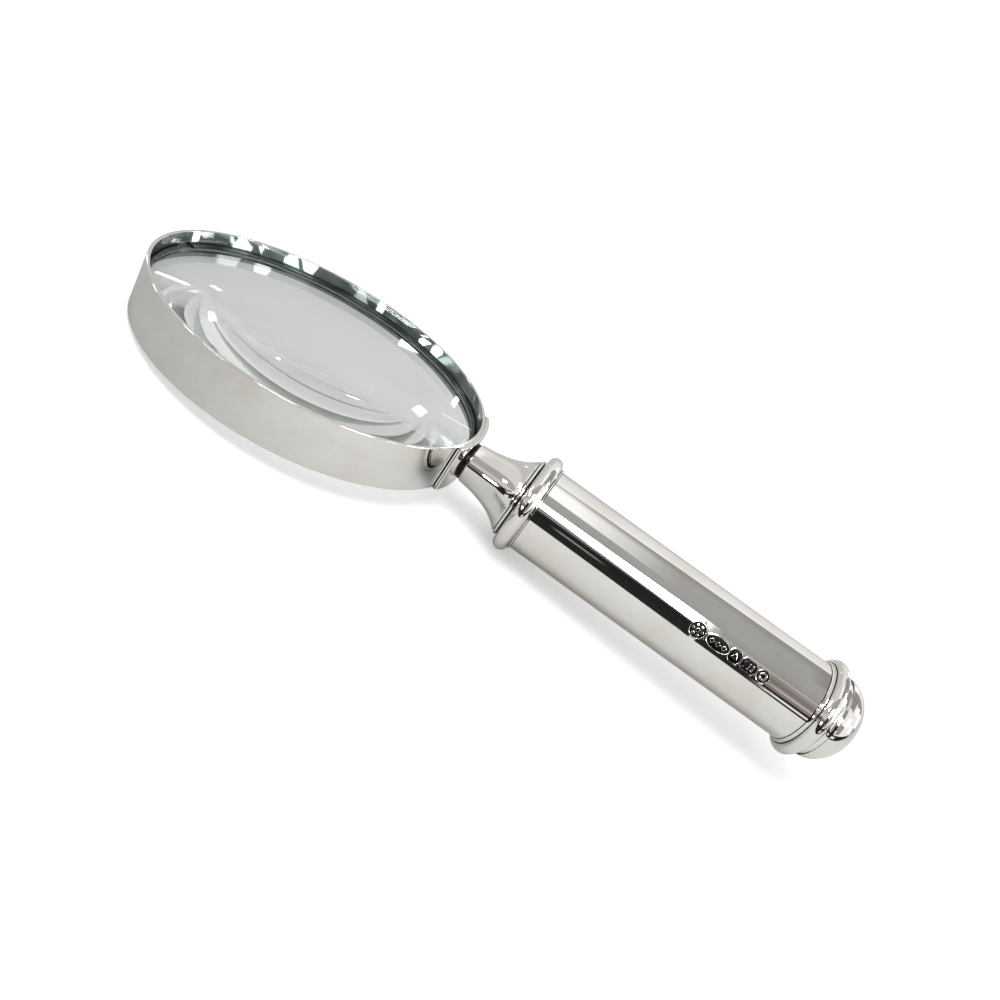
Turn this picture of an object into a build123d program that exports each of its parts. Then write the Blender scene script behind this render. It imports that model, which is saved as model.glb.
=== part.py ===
from build123d import *
import os
from math import cos, radians, sin, sqrt

# Silver-handled hand lens: a three-inch double-convex glass in a plain cylindrical rim, and a
# turned, loaded handle that screws onto the rim's neck.
# Origin at the middle of the lens. +X runs along the handle, +Z along the optical axis. Millimetres.

# Rim and glass
RIM_R = 39.0
RIM_HEIGHT = 11.0
RIM_WALL = 0.8
RIM_EDGE_ROUND = 0.15
LENS_R = 38.1
LENS_EDGE = 3.0
LENS_BULGE = 2.3
LENS_EDGE_BEVEL = 0.3
WIRE_D = 0.9
WIRE_GAP_DEG = 7.0
GLUE_GAP = 0.03

# Saddle on the rim's outside, and the neck
SADDLE_T = 1.05
SADDLE_HALF_DEG = 18.0
SADDLE_TURN_DEG = 3.3
SADDLE_CORNER = 0.3
SPIGOT_PAST_RIM = 2.0
BOSS_R = 4.45
BOSS_SPIGOT_R = 3.0
NECK_FACE_X = 40.3
WASHER_R = 4.4
WASHER_T = 0.34
FIT = 0.02
THREAD_FIT = 0.06
STUD_R = 2.0
STUD_X = (39.1, 50.0)
STUD_CHAMFER = 0.4

# Ferrule: a trumpet from the neck to the collar
FERRULE_X = 40.7
FERRULE_NECK_R = 4.75
FERRULE_NECK_EASE = 0.15
FERRULE_CURVE = ((46.5, 5.25), (50.6, 6.6))
FERRULE_LIP_R = 9.1
FERRULE_LIP_X = 53.0
FERRULE_LIP_T = 0.35
FERRULE_BORE_R = 3.4
FERRULE_HOLLOW_R = 7.2
FERRULE_HOLLOW_X = 50.8
FERRULE_HOLLOW_STEP = 1.0
BUSH_X = (41.5, 56.0)
BUSH_STEP_X = 51.0
ROD_R = 1.5

# Collar rings between the ferrule and the tube
SEAM = 0.04
THIN_RING_X = (53.45, 54.35)
THIN_RING_R = 9.7
BEAD_X = (54.45, 57.95)
BEAD_R = 12.0
SEAT_RING_T = 0.4
SEAT_RING_R = 10.45

# Tube and what it is loaded with
TUBE_X = (58.43, 129.3)
TUBE_R = 10.04
TUBE_WALL = 0.6
PLUG_DEPTH = 6.0
SPIGOT_R = 6.0
CORE_CLEARANCE = 0.05

# End cap
END_RING_X = (129.34, 130.1)
END_RING_R = (10.1, 10.65)
END_RING_HOLLOW = 0.12
END_BEAD_X = (130.18, 133.4)
END_BEAD_R = 12.05
END_NECK_X = (133.44, 135.1)
END_NECK_R = (10.2, 9.75)
END_NECK_HOLLOW = 0.25
DOME_X = (135.14, 142.35)
DOME_R = 10.15
DOME_WALL = 0.9
WASHER_M3_R = 3.5
WASHER_M3_T = 0.5
NUT_AF = 5.5
NUT_T = 2.4
ROD_END_X = 138.4

# Row of struck marks on the tube
STAMP_ANGLE_DEG = 20.0
STAMP_DEPTH = 0.2
STAMP_X = (100.0, 105.1, 109.4, 112.9, 116.5)
STAMP_MARGIN = 4.0


def turned(*outline):
    """A solid turned about the handle's axis, from its (x, radius) corners."""
    return revolve(make_face(Polyline(*outline, close=True)), axis=Axis.X)


def washer(span, outer, hole):
    """A flat ring on the handle's axis."""
    x0, x1 = span
    return turned((x0, hole), (x1, hole), (x1, outer), (x0, outer))


def bead(span, crest, hole):
    """A ring on the handle's axis whose outer edge is a half round."""
    x0, x1 = span
    shoulder = crest - (x1 - x0) / 2
    sides = Polyline((x0, shoulder), (x0, hole), (x1, hole), (x1, shoulder))
    edge = ThreePointArc((x1, shoulder), ((x0 + x1) / 2, crest), (x0, shoulder))
    return revolve(make_face(sides + edge), axis=Axis.X)


def cove(span, radii, hole, hollow):
    """A ring whose outside sweeps in a hollow curve from one radius to the other."""
    (x0, x1), (r0, r1) = span, radii
    sides = Polyline((x0, r0), (x0, hole), (x1, hole), (x1, r1))
    edge = ThreePointArc((x1, r1), ((x0 + x1) / 2, (r0 + r1) / 2 - hollow), (x0, r0))
    return revolve(make_face(sides + edge), axis=Axis.X)


def along_x(radius, x0, x1):
    """A plain round bar on the handle's axis."""
    return Plane.YZ.offset(x0) * Cylinder(
        radius, x1 - x0, align=(Align.CENTER, Align.CENTER, Align.MIN)
    )


def rim_band():
    """The rim: a plain band around the lens, edges eased."""
    band = Cylinder(RIM_R, RIM_HEIGHT) - Cylinder(RIM_R - RIM_WALL, RIM_HEIGHT)
    return fillet(band.edges().filter_by(GeomType.CIRCLE), RIM_EDGE_ROUND)


def lens_face_z(radius):
    """Height of the lens's upper face above its mid-plane at a radius."""
    curvature = (LENS_R**2 + LENS_BULGE**2) / (2 * LENS_BULGE)
    return LENS_EDGE / 2 + LENS_BULGE - curvature + sqrt(curvature**2 - radius**2)


def lens():
    """Double-convex glass with a ground and bevelled edge."""
    crown = LENS_EDGE / 2 + LENS_BULGE
    half, rim = LENS_R / 2, LENS_R - LENS_EDGE_BEVEL
    wall = LENS_EDGE / 2 - LENS_EDGE_BEVEL
    upper = ThreePointArc((0, crown), (half, lens_face_z(half)), (rim, lens_face_z(rim)))
    shoulder = lens_face_z(rim)
    ground = Polyline((rim, shoulder), (LENS_R, wall), (LENS_R, -wall), (rim, -shoulder))
    lower = ThreePointArc((rim, -shoulder), (half, -lens_face_z(half)), (0, -crown))
    section = upper + ground + lower + Line((0, -crown), (0, crown))
    return revolve(Plane.XZ * make_face(section), axis=Axis.Z)


def wire_ring(side, gap_deg=0.0):
    """A round-wire ring that lies on the lens near its edge, above it or below it."""
    ring_r = RIM_R - RIM_WALL - GLUE_GAP - WIRE_D / 2
    height = lens_face_z(ring_r) + WIRE_D / 2 + GLUE_GAP * 2
    section = Plane.XZ * (Pos(ring_r, side * height) * Circle(WIRE_D / 2))
    ring = revolve(section, axis=Axis.Z, revolution_arc=360 - gap_deg)
    return Rot(0, 0, 180 + gap_deg / 2) * ring


def saddle_plate():
    """The curved plate brazed over the rim's joint, a little off centre, which carries the neck."""
    inner, outer = RIM_R + FIT, RIM_R + SADDLE_T
    width = 2 * SADDLE_HALF_DEG
    arc_in = CenterArc((0, 0), inner, -SADDLE_HALF_DEG, width)
    arc_out = CenterArc((0, 0), outer, -SADDLE_HALF_DEG, width)
    sides = [Line(arc_in @ end, arc_out @ end) for end in (0, 1)]
    plate = extrude(make_face(Curve() + [arc_in, arc_out, *sides]), RIM_HEIGHT / 2, both=True)
    upright = plate.edges().filter_by(Axis.Z)
    corners = [edge for edge in upright if edge.center().length > (inner + outer) / 2]
    plate = Rot(0, 0, SADDLE_TURN_DEG) * fillet(corners, SADDLE_CORNER)
    return plate - along_x(BOSS_SPIGOT_R + FIT, RIM_R - SPIGOT_PAST_RIM, NECK_FACE_X)


def neck_boss():
    """The boss brazed through the saddle, tapped for the stud: a spigot and a flat-faced flange."""
    flange = along_x(BOSS_R, RIM_R - SPIGOT_PAST_RIM, NECK_FACE_X)
    flange -= Cylinder(RIM_R + SADDLE_T + FIT, RIM_HEIGHT)
    spigot = along_x(BOSS_SPIGOT_R, RIM_R + FIT, NECK_FACE_X)
    hole = along_x(STUD_R + FIT, RIM_R - SPIGOT_PAST_RIM, NECK_FACE_X)
    return flange + spigot - hole


def frame_stud():
    """The stud that the handle screws onto."""
    x0, x1 = STUD_X
    return turned((x0, 0), (x0, STUD_R), (x1 - STUD_CHAMFER, STUD_R),
                  (x1, STUD_R - STUD_CHAMFER), (x1, 0))


def ferrule():
    """The trumpet-shaped ferrule, bored for its bush and hollow behind the lip."""
    lip_end = FERRULE_LIP_X + FERRULE_LIP_T
    neck = (FERRULE_X + FERRULE_NECK_EASE, FERRULE_NECK_R)
    lip = (FERRULE_LIP_X, FERRULE_LIP_R)
    flare = Bezier(neck, *FERRULE_CURVE, lip)
    rest = Polyline(
        lip,
        (lip_end, FERRULE_LIP_R),
        (lip_end, FERRULE_HOLLOW_R),
        (FERRULE_HOLLOW_X, FERRULE_BORE_R + FERRULE_HOLLOW_STEP),
        (FERRULE_HOLLOW_X, FERRULE_BORE_R),
        (FERRULE_X, FERRULE_BORE_R),
        (FERRULE_X, FERRULE_NECK_R - FERRULE_NECK_EASE),
        neck,
    )
    return revolve(make_face(flare + rest), axis=Axis.X)


def threaded_bush():
    """The bush inside the ferrule: it takes the frame's stud in front and the tie rod behind."""
    x0, x1 = BUSH_X
    outer, front, back = FERRULE_BORE_R - FIT, STUD_R + THREAD_FIT, ROD_R + FIT
    return turned((x0, front), (BUSH_STEP_X, front), (BUSH_STEP_X, back), (x1, back),
                  (x1, outer), (x0, outer))


def front_plug():
    """The turned plug that centres the collar rings and the tube's front end."""
    x_front, x_step = FERRULE_LIP_X + FERRULE_LIP_T + SEAM, TUBE_X[0] + SEAM
    bush_end = BUSH_X[1] + SEAM
    return turned((x_front, FERRULE_BORE_R + FIT), (bush_end, FERRULE_BORE_R + FIT),
                  (bush_end, ROD_R + FIT), (x_step + PLUG_DEPTH, ROD_R + FIT),
                  (x_step + PLUG_DEPTH, plug_r()), (x_step, plug_r()),
                  (x_step, SPIGOT_R), (x_front, SPIGOT_R))


def plug_r():
    """Radius of what fits inside the tube."""
    return TUBE_R - TUBE_WALL - CORE_CLEARANCE


def core_span():
    """From the front plug's inner face to the rear plug's."""
    return TUBE_X[0] + PLUG_DEPTH + 2 * SEAM, TUBE_X[1] - PLUG_DEPTH - SEAM


def rear_plug():
    """The plug that centres the tube's rear end and the cap's rings."""
    x_inner, x_step, x_end = TUBE_X[1] - PLUG_DEPTH, TUBE_X[1], END_NECK_X[1] - SEAM
    return turned((x_inner, ROD_R + FIT), (x_end, ROD_R + FIT), (x_end, SPIGOT_R),
                  (x_step, SPIGOT_R), (x_step, plug_r()), (x_inner, plug_r()))


def ring_hole():
    """The hole that fits a ring over a plug's spigot."""
    return SPIGOT_R + FIT


def end_dome():
    """The hollow domed end, a flattened hemisphere."""
    x0, x1 = DOME_X
    outside = EllipticalCenterArc((x0, 0), x1 - x0, DOME_R, arc_size=90)
    inside = EllipticalCenterArc((x0, 0), x1 - x0 - DOME_WALL, DOME_R - DOME_WALL, arc_size=90)
    joins = [Line(inside @ 0, outside @ 0), Line(outside @ 1, inside @ 1)]
    return revolve(make_face(Curve() + [outside, inside, *joins]), axis=Axis.X)


def rear_nut():
    """The hexagonal nut on the tie rod's end, inside the dome."""
    x0 = nut_x()
    hexagon = Plane.YZ.offset(x0) * (
        RegularPolygon(NUT_AF / 2, 6, major_radius=False) - Circle(ROD_R + FIT)
    )
    return extrude(hexagon, NUT_T)


def nut_x():
    """Where the nut starts: behind the plug and the washer."""
    return END_NECK_X[1] + WASHER_M3_T


def dots(count, ring_radius, dot_radius):
    """Round dots evenly spaced on a circle."""
    return PolarLocations(ring_radius, count) * Circle(dot_radius)


def stamp_shapes():
    """The struck marks as plain ornament: each is a sunk outline with a motif left standing."""
    rosette = Circle(1.8) - dots(6, 1.12, 0.3) - Circle(0.5)
    lozenge = Rot(0, 0, 45) * Rectangle(0.95, 0.95)
    cartouche = Ellipse(2.85, 1.45) - [Pos(x, 0) * lozenge for x in (-1.5, 0, 1.5)]
    arch = RectangleRounded(2.7, 2.9, 0.9) - Triangle(a=1.6, b=1.6, c=1.6)
    bars = [Pos(x, 0) * Rectangle(0.42, 1.5) for x in (-1.0, 0, 1.0)]
    clipped = chamfer(Rectangle(3.7, 2.6).vertices(), 0.6) - bars
    ringlet = Circle(1.4) - (Circle(0.95) - Circle(0.5))
    return rosette, cartouche, arch, clipped, ringlet


def handle_tube():
    """The plain seamless tube of the grip, with its row of marks."""
    tube = washer(TUBE_X, TUBE_R, TUBE_R - TUBE_WALL)
    angle = radians(STAMP_ANGLE_DEG)
    facing = Vector(0, -cos(angle), sin(angle))
    row = (STAMP_X[0] - STAMP_MARGIN, STAMP_X[-1] + STAMP_MARGIN)
    struck_skin = washer(row, TUBE_R + TUBE_WALL, TUBE_R - STAMP_DEPTH)
    for x, shape in zip(STAMP_X, stamp_shapes()):
        seat = Plane(origin=Vector(x, 0, 0) + facing * TUBE_R, x_dir=(1, 0, 0), z_dir=facing)
        tube -= extrude(seat * shape, TUBE_WALL, both=True) & struck_skin
    return tube


nodes = {
    "rim_band": rim_band(),
    "lens": lens(),
    "lens_seat_ring": wire_ring(-1),
    "lens_retaining_ring": wire_ring(1, WIRE_GAP_DEG),
    "saddle_plate": saddle_plate(),
    "neck_boss": neck_boss(),
    "frame_stud": frame_stud(),
    "neck_washer": washer((NECK_FACE_X + FIT, NECK_FACE_X + FIT + WASHER_T), WASHER_R,
                          STUD_R + THREAD_FIT),
    "ferrule": ferrule(),
    "threaded_bush": threaded_bush(),
    "collar_thin_ring": bead(THIN_RING_X, THIN_RING_R, ring_hole()),
    "collar_bead": bead(BEAD_X, BEAD_R, ring_hole()),
    "collar_seat_ring": washer((BEAD_X[1] + SEAM, BEAD_X[1] + SEAM + SEAT_RING_T), SEAT_RING_R,
                               ring_hole()),
    "front_plug": front_plug(),
    "handle_tube": handle_tube(),
    "handle_core": washer(core_span(), plug_r(), ROD_R + FIT),
    "tie_rod": along_x(ROD_R, BUSH_STEP_X + SEAM, ROD_END_X),
    "rear_plug": rear_plug(),
    "end_seat_ring": cove(END_RING_X, END_RING_R, ring_hole(), END_RING_HOLLOW),
    "end_bead": bead(END_BEAD_X, END_BEAD_R, ring_hole()),
    "end_neck_ring": cove(END_NECK_X, END_NECK_R, ring_hole(), END_NECK_HOLLOW),
    "rear_washer": washer((END_NECK_X[1], nut_x() - FIT), WASHER_M3_R, ROD_R + FIT),
    "rear_nut": rear_nut(),
    "end_dome": end_dome(),
}

os.makedirs("parts", exist_ok=True)
for name, shape in nodes.items():
    export_step(shape, f"parts/{name}.step")
    print(name, [round(s.volume, 2) for s in shape.solids()])
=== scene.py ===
"""Silver-handled hand lens: the visible pieces, their finishes and the studio.

Every size in the classes below is in millimetres and is turned to metres when a mesh is made. The
handle lies along +X, the optical axis along +Z, and the middle of the glass is the origin.
"""

import logging
import math
from dataclasses import dataclass, field
from enum import Enum

import bmesh
import bpy
from bmesh.types import BMesh
from bpy.types import Material, Node, NodeSocket, NodeTree, Object
from mathutils import Matrix, Vector
from mathutils.geometry import interpolate_bezier


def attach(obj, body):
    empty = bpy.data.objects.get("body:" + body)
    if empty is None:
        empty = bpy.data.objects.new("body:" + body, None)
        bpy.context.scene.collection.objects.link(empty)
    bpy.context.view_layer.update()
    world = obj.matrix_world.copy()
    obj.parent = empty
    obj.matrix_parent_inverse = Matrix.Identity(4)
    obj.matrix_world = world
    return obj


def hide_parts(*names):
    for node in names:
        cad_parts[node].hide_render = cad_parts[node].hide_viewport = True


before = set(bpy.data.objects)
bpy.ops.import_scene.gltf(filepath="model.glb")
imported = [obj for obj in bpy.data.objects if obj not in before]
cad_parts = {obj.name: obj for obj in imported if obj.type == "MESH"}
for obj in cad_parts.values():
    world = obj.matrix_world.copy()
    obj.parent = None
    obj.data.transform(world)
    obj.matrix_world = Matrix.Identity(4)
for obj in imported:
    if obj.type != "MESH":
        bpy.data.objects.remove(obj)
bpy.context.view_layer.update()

Pair = tuple[float, float]
Triple = tuple[float, float, float]
MM = 0.001
SHARP_DEG = 32.0
MERGE = 1e-4
CLEARANCE = 0.02
JOINT_DEPTH = 0.05
WAVE_PERIOD = 6.28
CROWN_STEPS = 28
COVE_STEPS = 10
ALONG_HANDLE = (1.0, 0.05, 0.05)
ALONG_OPTICAL_AXIS = (0.04, 0.04, 1.0)
LOG = logging.getLogger("hand_lens")


class Body(Enum):
    """The CAD bodies that pieces ride on."""

    LENS_FRAME = "lens_frame"
    WASHER = "washer"
    HANDLE = "handle"


class Slot(Enum):
    """The record's material slots."""

    SILVER = "polished_silver"
    GLASS = "lens_glass"
    WIRE = "spring_wire"
    STEEL = "steel_fixings"
    FIBRE = "black_washer"


@dataclass(frozen=True)
class Corner:
    """A corner of a turned piece's section, with the radius that its edge is eased to."""

    along: float
    radius: float
    ease: float = 0.0


class Axis(Enum):
    """The axis that a piece is turned about."""

    HANDLE = (-1.0, 0.0, 0.0)
    OPTICAL = (0.0, 0.0, 1.0)

    def place(self, corner: Corner) -> Vector:
        """Puts a section's corner on the half-plane that a turning starts from.

        Args:
            corner: the corner.

        Returns:
            The point, in millimetres.
        """
        if self is Axis.HANDLE:
            return Vector((corner.along, -corner.radius, 0.0))
        return Vector((corner.radius, 0.0, corner.along))


def arc(start: Pair, end: Pair, rise: float, steps: int) -> list[Corner]:
    """Points on a circular arc between two points of a section, ends included.

    Args:
        start: first (along, radius) point.
        end: last (along, radius) point.
        rise: how far the arc's middle stands off its chord, to the left of start to end.
        steps: number of segments.

    Returns:
        The points as plain corners.
    """
    a, b = Vector(start), Vector(end)
    chord = b - a
    left = Vector((-chord.y, chord.x)).normalized()
    radius = (chord.length**2 / 4 + rise**2) / (2 * abs(rise))
    centre = (a + b) / 2 + left * (rise - math.copysign(radius, rise))
    spoke = a - centre
    turn = (b - centre).angle_signed(spoke)
    return [Corner(*(centre + Matrix.Rotation(turn * i / steps, 2) @ spoke)) for i in range(steps + 1)]


def draw_section(bm: BMesh, corners: list[Corner], axis: Axis) -> None:
    """Draws a closed section as an outline with eased corners, ready to be spun.

    Args:
        bm: the empty mesh to draw in.
        corners: the section's corners in order.
        axis: the axis that it will be turned about.
    """
    verts = [bm.verts.new(axis.place(c)) for c in corners]
    bm.faces.new(verts)
    for ease in sorted({c.ease for c in corners if c.ease}):
        eased = [v for v, c in zip(verts, corners) if c.ease == ease]
        bmesh.ops.bevel(
            bm, geom=eased, offset=ease, offset_type="OFFSET", segments=6, profile=0.5,
            affect="VERTICES", material=-1, clamp_overlap=True,
        )
    bmesh.ops.delete(bm, geom=bm.faces[:], context="FACES_ONLY")


def spin(bm: BMesh, outline: list, axis: Axis, steps: int, sweep_deg: float = 360.0) -> list:
    """Spins an outline or faces about an axis.

    Args:
        bm: the mesh.
        outline: the vertices and edges, or the faces, to spin.
        axis: what they turn about.
        steps: number of steps round the sweep.
        sweep_deg: how far they turn.

    Returns:
        The geometry at the end of the sweep.
    """
    return bmesh.ops.spin(
        bm, geom=outline, cent=(0, 0, 0), axis=axis.value, dvec=(0, 0, 0),
        angle=math.radians(sweep_deg), steps=steps, use_merge=sweep_deg == 360.0,
        use_duplicate=False,
    )["geom_last"]


def turned(corners: list[Corner], axis: Axis, steps: int, closed: bool = True) -> BMesh:
    """A section turned the whole way round an axis.

    Args:
        corners: the section's corners in order; an open one starts and ends on the axis.
        axis: the axis.
        steps: number of steps round.
        closed: whether the last corner joins the first.

    Returns:
        The mesh, in millimetres.
    """
    bm = bmesh.new()
    if closed:
        draw_section(bm, corners, axis)
    else:
        verts = [bm.verts.new(axis.place(c)) for c in corners]
        for pair in zip(verts, verts[1:]):
            bm.edges.new(pair)
    spin(bm, bm.verts[:] + bm.edges[:], axis, steps)
    return bm


def swing(bm: BMesh, degrees: float, about: str) -> None:
    """Turns a whole mesh about the X or Z axis."""
    matrix = Matrix.Rotation(math.radians(degrees), 3, about)
    bmesh.ops.rotate(bm, cent=(0, 0, 0), matrix=matrix, verts=bm.verts[:])


def piece(bm: BMesh, name: str, body: Body, finishes: list[Material], node: str) -> None:
    """Closes a mesh, shades it, and makes it a piece that rides on a CAD body.

    Args:
        bm: the mesh in millimetres; it is freed.
        name: the piece's name.
        body: the CAD body that it rides on.
        finishes: its materials, in the order of the faces' material numbers.
        node: the CAD node that it stands for.
    """
    bmesh.ops.remove_doubles(bm, verts=bm.verts[:], dist=MERGE)
    bmesh.ops.dissolve_degenerate(bm, edges=bm.edges[:], dist=MERGE / 10)
    bmesh.ops.recalc_face_normals(bm, faces=bm.faces[:])
    bmesh.ops.scale(bm, vec=(MM, MM, MM), verts=bm.verts[:])
    for face in bm.faces:
        face.smooth = True
    for edge in bm.edges:
        edge.smooth = edge.calc_face_angle(0.0) < math.radians(SHARP_DEG)
    made = link(bm, name, finishes)
    weighted = made.modifiers.new("flats_stay_flat", "WEIGHTED_NORMAL")
    weighted.mode = "FACE_AREA"
    weighted.keep_sharp = True
    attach(made, body.value)
    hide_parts(node)
    LOG.info("%s on %s, %d faces", name, body.value, len(made.data.polygons))


def link(bm: BMesh, name: str, finishes: list[Material]) -> Object:
    """Makes a finished mesh an object of the scene.

    Args:
        bm: the mesh in metres; it is freed.
        name: the object's name.
        finishes: its materials.

    Returns:
        The object.
    """
    mesh = bpy.data.meshes.new(name)
    bm.to_mesh(mesh)
    bm.free()
    for finish in finishes:
        mesh.materials.append(finish)
    made = bpy.data.objects.new(name, mesh)
    bpy.context.scene.collection.objects.link(made)
    return made


def linear(hex_colour: str) -> tuple[float, float, float, float]:
    """Turns an sRGB hex colour such as "#F2EFEB" into linear RGBA.

    Args:
        hex_colour: the colour.

    Returns:
        Red, green, blue and an alpha of 1, linear.
    """
    channels = [int(hex_colour[i:i + 2], 16) / 255 for i in (1, 3, 5)]
    return (*(c / 12.92 if c <= 0.04045 else ((c + 0.055) / 1.055) ** 2.4 for c in channels), 1.0)


def add_node(tree: NodeTree, kind: str, inputs: dict | None = None,
             stops: list[tuple[float, tuple]] | None = None, **settings) -> Node:
    """Adds a shader node with its settings, values and links.

    Args:
        tree: the node tree.
        kind: the node's type, without its "ShaderNode".
        inputs: socket name or number to a value, or to the output socket or the node that feeds
            it; a node feeds it from its first live output.
        stops: a colour ramp's stops, as (position, colour) pairs.
        **settings: the node's own properties.

    Returns:
        The node.
    """
    node = tree.nodes.new("ShaderNode" + kind)
    for key, value in settings.items():
        setattr(node, key, value)
    for key, value in (inputs or {}).items():
        if isinstance(value, Node):
            value = next(socket for socket in value.outputs if socket.enabled)
        if isinstance(value, NodeSocket):
            tree.links.new(value, node.inputs[key])
        else:
            node.inputs[key].default_value = value
    if stops:
        ramp = node.color_ramp.elements
        while len(ramp) < len(stops):
            ramp.new(0.5)
        for element, (position, _) in zip(ramp, stops):
            element.position = position
        for element, (_, colour) in zip(ramp, stops):
            element.color = colour
    return node


def bare_material(name: str) -> tuple[Material, NodeTree, NodeSocket]:
    """Starts a node material.

    Args:
        name: the finish's name.

    Returns:
        The material, its empty tree, and the Object coordinates.
    """
    material = bpy.data.materials.new(name)
    material.use_nodes = True
    tree = material.node_tree
    tree.nodes.clear()
    return material, tree, add_node(tree, "TexCoord").outputs["Object"]


def dress(material: Material, inputs: dict) -> Material:
    """Ends a material with the Principled shader.

    Args:
        material: the material, with the nodes that feed the shader.
        inputs: the shader's inputs, as add_node takes them.

    Returns:
        The same material.
    """
    shader = add_node(material.node_tree, "BsdfPrincipled", inputs)
    add_node(material.node_tree, "OutputMaterial", {"Surface": shader})
    return material


def per_mm(size: float) -> float:
    """Turns a pattern's size in millimetres into a texture scale on metre coordinates."""
    return 1.0 / (size * MM)


@dataclass(frozen=True)
class PolishedSilver:
    """Sterling silver, buffed to a mirror after it was turned or rolled.

    The eye sees the room in it, faintly warm, with the buffing wheel's fine lines, a slow waviness
    of the hand-finished surface that makes straight reflections wander, and patches that handling
    has dulled.
    """

    name: str
    lay: Triple
    colour: str = "#F4F2EF"
    handled: str = "#EAE6DF"
    roughness: Pair = (0.03, 0.085)
    buff_line: float = 0.16
    patch: float = 11.0
    wave: float = 14.0
    wave_depth: float = 0.010
    buff_depth: float = 0.00025

    def build(self) -> Material:
        """Makes the material.

        Returns:
            The material.
        """
        material, tree, place = bare_material(self.name)
        patches = add_node(tree, "TexNoise", {
            "Vector": place, "Scale": per_mm(self.patch), "Detail": 5.0, "Roughness": 0.62,
        })
        colour = add_node(tree, "ValToRGB", {"Fac": patches}, stops=[
            (0.42, linear(self.colour)), (0.78, linear(self.handled)),
        ])
        dulled = add_node(tree, "MapRange", {
            "Value": patches, "From Min": 0.4, "From Max": 0.8,
            "To Min": self.roughness[0], "To Max": self.roughness[1],
        }, interpolation_type="SMOOTHSTEP")
        stretched = add_node(tree, "Mapping", {"Vector": place, "Scale": self.lay})
        lines = add_node(tree, "TexNoise", {
            "Vector": stretched, "Scale": per_mm(self.buff_line), "Detail": 2.0, "Roughness": 0.5,
        })
        slow = add_node(tree, "TexNoise", {
            "Vector": place, "Scale": per_mm(self.wave), "Detail": 1.0, "Roughness": 0.4,
        })
        waves = add_node(tree, "Bump", {
            "Height": slow, "Strength": 1.0, "Distance": self.wave_depth * MM,
        })
        buffed = add_node(tree, "Bump", {
            "Height": lines, "Strength": 1.0, "Distance": self.buff_depth * MM, "Normal": waves,
        })
        return dress(material, {
            "Base Color": colour, "Roughness": dulled, "Normal": buffed, "Metallic": 1.0,
        })


@dataclass(frozen=True)
class SatinSilver:
    """Sterling silver left from the file and the stone: a grey edge with fine straight scratches."""

    name: str
    colour: str = "#E2DFDA"
    roughness: float = 0.3
    scratch: float = 0.12
    scratch_depth: float = 0.003

    def build(self) -> Material:
        """Makes the material.

        Returns:
            The material.
        """
        material, tree, place = bare_material(self.name)
        along = add_node(tree, "Mapping", {"Vector": place, "Scale": (1.0, 0.08, 1.0)})
        scratches = add_node(tree, "TexNoise", {
            "Vector": along, "Scale": per_mm(self.scratch), "Detail": 3.0,
        })
        rubbed = add_node(tree, "MapRange", {
            "Value": scratches, "From Min": 0.35, "From Max": 0.65,
            "To Min": self.roughness * 0.8, "To Max": self.roughness * 1.3,
        })
        relief = add_node(tree, "Bump", {
            "Height": scratches, "Strength": 1.0, "Distance": self.scratch_depth * MM,
        })
        return dress(material, {
            "Base Color": linear(self.colour), "Roughness": rubbed, "Normal": relief, "Metallic": 1.0,
        })


@dataclass(frozen=True)
class CrownGlass:
    """Crown glass, optically polished: clear, with the faint green that iron leaves in thick glass.

    Wiping leaves a thin greasy film in places, which dulls its reflections a little.
    """

    name: str
    colour: str = "#FAFDFC"
    ior: float = 1.52
    smear: float = 16.0
    haze: float = 0.03

    def build(self) -> Material:
        """Makes the material.

        Returns:
            The material.
        """
        material, tree, place = bare_material(self.name)
        wiped = add_node(tree, "Mapping", {
            "Vector": place, "Rotation": (0.0, 0.0, math.radians(24.0)), "Scale": (1.0, 0.35, 1.0),
        })
        film = add_node(tree, "TexNoise", {
            "Vector": wiped, "Scale": per_mm(self.smear), "Detail": 6.0, "Roughness": 0.6,
        })
        haze = add_node(tree, "MapRange", {
            "Value": film, "From Min": 0.45, "From Max": 0.85, "To Min": 0.0, "To Max": self.haze,
        }, interpolation_type="SMOOTHSTEP")
        return dress(material, {
            "Base Color": linear(self.colour), "Roughness": haze, "IOR": self.ior,
            "Transmission Weight": 1.0,
        })


@dataclass(frozen=True)
class GroundGlass:
    """The lens's edge, ground on a wheel: frosted, and green because the eye looks along the glass."""

    name: str
    colour: str = "#9FBDB2"
    ior: float = 1.52
    grit: float = 0.25

    def build(self) -> Material:
        """Makes the material.

        Returns:
            The material.
        """
        material, tree, place = bare_material(self.name)
        grain = add_node(tree, "TexNoise", {"Vector": place, "Scale": per_mm(self.grit), "Detail": 2.0})
        relief = add_node(tree, "Bump", {"Height": grain, "Strength": 0.6, "Distance": 0.02 * MM})
        return dress(material, {
            "Base Color": linear(self.colour), "Roughness": 0.55, "IOR": self.ior, "Normal": relief,
            "Transmission Weight": 0.85,
        })


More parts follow.
